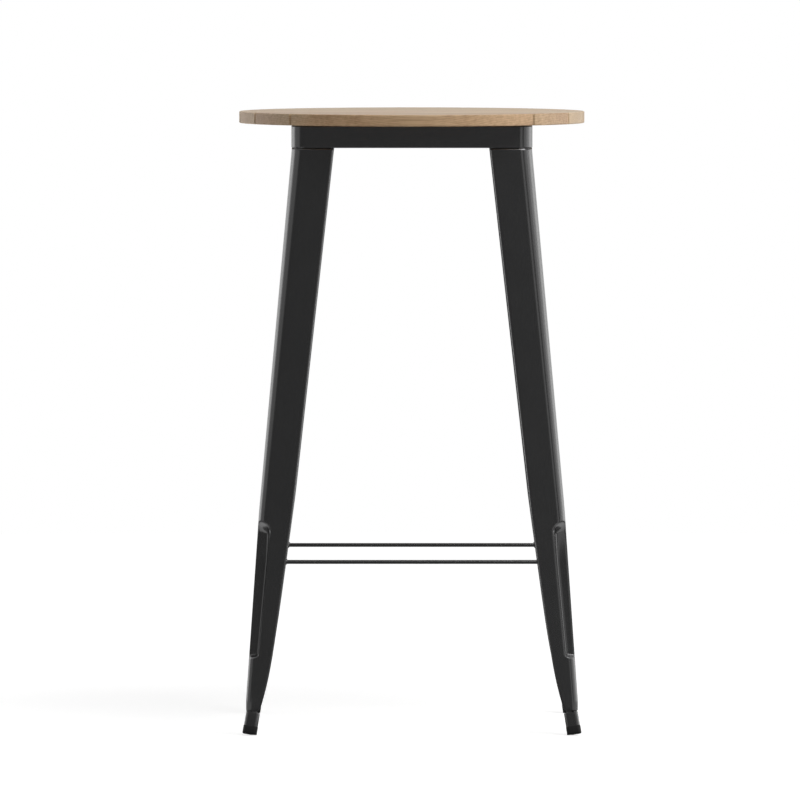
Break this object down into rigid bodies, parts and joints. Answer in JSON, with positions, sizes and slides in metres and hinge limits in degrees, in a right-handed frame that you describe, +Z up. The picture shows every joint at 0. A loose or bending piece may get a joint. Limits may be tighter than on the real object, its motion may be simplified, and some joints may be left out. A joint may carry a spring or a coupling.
{
  "type": "bar table",
  "caption": "Tall round bar table with a slatted wood top on splayed pressed-steel legs, with a folded square apron, round-rod rungs and rubber foot caps.",
  "frame": {"origin": "on the floor, straight under the middle of the round top", "axes": "+Z up; +X to the right along the slats and -Y towards the front, as the picture shows it"},
  "size_m": [0.6, 0.6, 1.067],
  "materials": {
    "slat_wood": "satin",
    "frame_coat": "satin powder coat",
    "foot_rubber": "matte",
    "zinc_fastener": "zinc plated"
  },
  "bodies": {
    "root": {"slat_1": "slat_wood", "slat_2": "slat_wood", "slat_3": "slat_wood", "slat_4": "slat_wood", "slat_5": "slat_wood", "slat_6": "slat_wood", "slat_7": "slat_wood", "apron": "frame_coat", "rung_front": "frame_coat", "rung_back": "frame_coat", "rung_left": "frame_coat", "rung_right": "frame_coat", "batten_left": "frame_coat", "batten_right": "frame_coat", "leg_front_left": "frame_coat", "leg_top_plate_front_left": "frame_coat", "corner_plate_front_left": "frame_coat", "foot_sleeve_front_left": "frame_coat", "foot_cap_front_left": "foot_rubber", "leg_front_right": "frame_coat", "leg_top_plate_front_right": "frame_coat", "corner_plate_front_right": "frame_coat", "foot_sleeve_front_right": "frame_coat", "foot_cap_front_right": "foot_rubber", "leg_back_right": "frame_coat", "leg_top_plate_back_right": "frame_coat", "corner_plate_back_right": "frame_coat", "foot_sleeve_back_right": "frame_coat", "foot_cap_back_right": "foot_rubber", "leg_back_left": "frame_coat", "leg_top_plate_back_left": "frame_coat", "corner_plate_back_left": "frame_coat", "foot_sleeve_back_left": "frame_coat", "foot_cap_back_left": "foot_rubber", "slat_screws": "zinc_fastener", "frame_screws": "zinc_fastener", "leg_bolts": "zinc_fastener", "leg_bolt_washers": "zinc_fastener", "weld_nuts": "zinc_fastener"}
  },
  "joints": []
}
